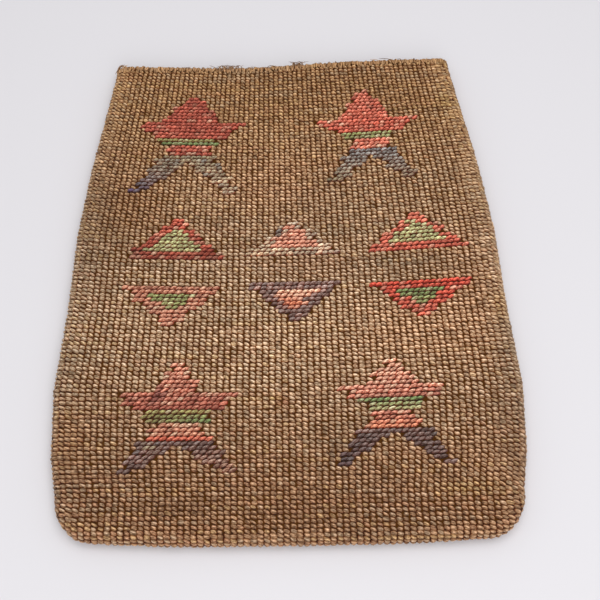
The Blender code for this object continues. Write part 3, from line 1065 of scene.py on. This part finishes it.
def inner_twining(rng, pattern, material):
    """Lays the rows that show inside the mouth, on both walls."""
    columns, rows, sides = np.meshgrid(
        np.arange(2, COLUMNS - 2) + 0.5 - HALF_COLUMNS,
        np.arange(ROWS - RIM_ROWS - INNER_ROWS, ROWS - RIM_ROWS) + 0.5,
        (1, -1))
    column, row, side = columns.ravel(), rows.ravel(), sides.ravel()
    spots = spots_at(column, row, side, travel_of(column, row_distance(column, row)))
    # lowered, so that the patches of the front don't reach them
    points = skin(column, spots["travel"], side) - np.array((0, 0, 1))
    # darkened by INNER_SHADE, as painted shade inside the mouth
    dye = husk_dye(rng, column, row, points) * INNER_SHADE
    form = husk_form(rng, spots, PRESSED)
    item = lay("inner_twining", pattern, spots, form, dye, inside=True)
    hand_over(item, "woven_bag", "husk", material)


def rim(rng, pattern, material):
    """The turned warp ends along the mouth: at each warp two strands go over the wall's edge."""
    columns, sides = np.meshgrid(np.arange(2 * COLUMNS) / 2 + 0.25 - HALF_COLUMNS, (1, -1))
    column, side = columns.ravel(), sides.ravel()
    count = len(column)
    start = LENGTH - RIM_EDGE + 0.0003 * rng.standard_normal(count)
    spots = spots_at(column, ROWS - 0.5, side, travel_of(column, start))
    form = {
        "length": 0.00115 * np.exp(0.12 * rng.standard_normal(count)),
        "breadth": 0.0040 + 0.0005 * rng.standard_normal(count),
        "lean": 0.15 * rng.standard_normal(count),
        "shift_up": 0.0019,
        "height": 0.0007 + 0.0001 * rng.standard_normal(count),
        "curl": 0.0004 * rng.standard_normal(count),
    }
    dye = husk_dye(rng, column, spots["row"], skin(column, spots["travel"], side))
    dye = mix(dye, STRAW, np.clip(rng.random(count) - 0.75, 0, 1))
    dye = mix(dye, BURNT_TAN, 0.5) * RIM_SHADE
    item = lay("rim_strands", pattern, spots, form, dye, upright=True, turned=True)
    hand_over(item, "woven_bag", "husk", material)


# Where fibres stand loose along the rim: the column, how many, how far they spread and reach
FRAYS = (
    (-11.7, 34, 1.3, 0.0011),
    (3.2, 16, 0.6, 0.0012),
    (22.5, 4, 1.4, 0.0010),
    (-35.5, 12, 0.9, 0.0009),
)
STRAY_FIBRES = 20          # how many more stand loose singly anywhere
STRAY_REACH = 0.0002


def frayed_fibres(rng, pattern, material):
    """The thin loose fibres of the worn rim."""
    groups = [
        (place + spread * rng.standard_normal(), reach)
        for place, number, spread, reach in FRAYS
        for _ in range(number)
    ]
    groups += [
        (rng.uniform(1 - HALF_COLUMNS, HALF_COLUMNS - 1), STRAY_REACH)
        for _ in range(STRAY_FIBRES)
    ]
    column, reach = np.array(groups).T
    count = len(column)
    column = np.clip(column, 0.5 - HALF_COLUMNS, HALF_COLUMNS - 0.5)
    spots = spots_at(column, ROWS - 0.5, 1, travel_of(column, LENGTH - RIM_EDGE + 0.0006))
    form = {
        "length": 0.00034,
        "breadth": 0.0010 + reach * (0.4 + 0.9 * rng.random(count)),
        "lean": 0.9 * rng.standard_normal(count),
        "shift_up": reach * rng.random(count),
        "height": 0.00026,
        "arch": 0.0014 * rng.random(count),
        "curl": 0.0014 * rng.standard_normal(count),
    }
    dye = mix(OLD_BROWN, TAN, rng.random(count) ** 2)
    item = lay("frayed_fibres", pattern, spots, form, dye, upright=True)
    hand_over(item, "woven_bag", "husk", material)


# The studio

TABLE_TOP = paint(219, 217, 221)
SKY_LEVEL = 0.60
# Lamps that point at the bag: name, place, size and power
LAMPS = (
    ("key", (0.10, 0.08, 1.0), 0.8, 3.95),
    ("fill", (0.1, -0.7, 0.7), 0.9, 3.95),
)
CAMERA_PLACE = (0.00245, -0.2603, 0.4858)
CAMERA_AIM = (0.00675, -0.0124, 0.0)
LENS = 61.14
SENSOR_WIDTH = 36.0


def aim_at(item, aim):
    """Turns a lamp or the camera towards a point."""
    item.rotation_euler = (Vector(aim) - item.location).to_track_quat("-Z", "Y").to_euler()


def studio():
    """The pale table, the even light round it and the two lamps."""
    bpy.ops.object.select_all(action="DESELECT")
    bpy.ops.mesh.primitive_plane_add(size=6.0, location=(0, 0, 0))
    floor = bpy.context.object
    floor.name = "table_top"
    finish = Finish("pale_table")
    finish.surface({"Base Color": opaque(TABLE_TOP), "Roughness": 0.8})
    floor.data.materials.append(finish.material)

    world = bpy.data.worlds.new("studio")
    bpy.context.scene.world = world
    world.use_nodes = True
    sky = world.node_tree.nodes["Background"]
    sky.inputs["Color"].default_value = (1, 1, 1, 1)
    sky.inputs["Strength"].default_value = SKY_LEVEL

    for name, place, size, power in LAMPS:
        bpy.ops.object.light_add(type="AREA", location=place)
        lamp = bpy.context.object
        lamp.name = name
        lamp.data.size = size
        lamp.data.energy = power
        aim_at(lamp, (0, 0, 0))


def camera():
    """The photograph's view."""
    bpy.ops.object.camera_add(location=CAMERA_PLACE)
    item = bpy.context.object
    aim_at(item, CAMERA_AIM)
    item.data.lens = LENS
    item.data.sensor_width = SENSOR_WIDTH
    bpy.context.scene.camera = item


def main():
    """Sets the scene, then makes the wall and lays every strand on it."""
    bpy.context.scene.view_settings.view_transform = "Standard"
    camera()
    studio()
    husk = strand_finish("twined_husk", **HUSK_FIBRE)
    yarn = strand_finish("wool_yarn", **YARN_FIBRE)
    # the wall in the hollows is coloured near black as painted shade between the stitches; its
    # inside is lighter
    hollows = wall_finish("hollow_wall_painted_shade", paint(60, 32, 6), paint(88, 54, 18), 700.0)
    inside = wall_finish("wall_inside", paint(120, 88, 56), paint(70, 44, 22), 420.0)
    woven_wall(hollows, inside)

    fine = strand_pattern("fine_strand", segments=8, fullness=2.8, ridge=1.4)
    plain = strand_pattern("plain_strand", segments=6, fullness=2.4, ridge=1.4)
    wrap = strand_pattern("yarn_strand", segments=12, fullness=2.2, ridge=1.5)
    loop = loop_pattern("rim_loop", segments=8, rings=14, fullness=0.8)
    fibre = loop_pattern("loose_fibre", segments=4, rings=10, fullness=0.9)

    front = lattice(1)
    masks = field_masks(front["column"], front["row"])
    yarn_fields(np.random.default_rng(21), wrap, front, masks, yarn)
    bare = ~np.any(list(masks.values()), axis=0)
    face_twining(np.random.default_rng(11), fine, chosen(front, bare), 1, husk)
    face_twining(np.random.default_rng(12), plain, lattice(-1), -1, husk)
    inner_twining(np.random.default_rng(13), plain, husk)
    rim(np.random.default_rng(14), loop, husk)
    frayed_fibres(np.random.default_rng(15), fibre, husk)
    for pattern in (fine, plain, wrap, loop, fibre):
        bpy.data.objects.remove(pattern)


main()
